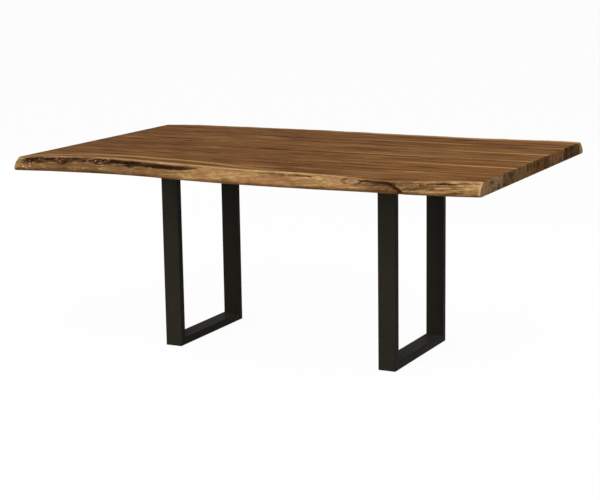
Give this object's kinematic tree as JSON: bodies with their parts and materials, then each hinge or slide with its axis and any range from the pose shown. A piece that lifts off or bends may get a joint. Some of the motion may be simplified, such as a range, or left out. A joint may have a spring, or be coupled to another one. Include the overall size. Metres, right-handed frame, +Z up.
{
  "type": "live edge dining table",
  "caption": "Rectangular dining table: a thick top of edge-glued planks with natural live edges along its long sides, carried on two U-shaped frames of black steel tube.",
  "frame": {"origin": "on the floor, under the middle of the top", "axes": "+X along the top's length, +Y across it towards the rear live edge, +Z up"},
  "size_m": [1.83, 1.2193, 0.762],
  "materials": {
    "plank_wood": "oiled, satin",
    "dowel_wood": "bare beech",
    "black_steel": "satin black powder coat",
    "zinc_steel": "zinc plated",
    "insert_brass": "turned brass",
    "pad_rubber": "matt"
  },
  "bodies": {
    "root": {"front_live_edge_plank": "plank_wood", "second_plank": "plank_wood", "third_plank": "plank_wood", "fourth_plank": "plank_wood", "fifth_plank": "plank_wood", "rear_live_edge_plank": "plank_wood", "glue_joint_1_dowels": "dowel_wood", "glue_joint_2_dowels": "dowel_wood", "glue_joint_3_dowels": "dowel_wood", "glue_joint_4_dowels": "dowel_wood", "glue_joint_5_dowels": "dowel_wood", "left_front_upright": "black_steel", "left_rear_upright": "black_steel", "left_bottom_bar": "black_steel", "left_mounting_plate": "black_steel", "left_plate_bolts": "zinc_steel", "left_plate_washers": "zinc_steel", "left_threaded_inserts": "insert_brass", "left_floor_pads": "pad_rubber", "right_front_upright": "black_steel", "right_rear_upright": "black_steel", "right_bottom_bar": "black_steel", "right_mounting_plate": "black_steel", "right_plate_bolts": "zinc_steel", "right_plate_washers": "zinc_steel", "right_threaded_inserts": "insert_brass", "right_floor_pads": "pad_rubber"}
  },
  "joints": []
}
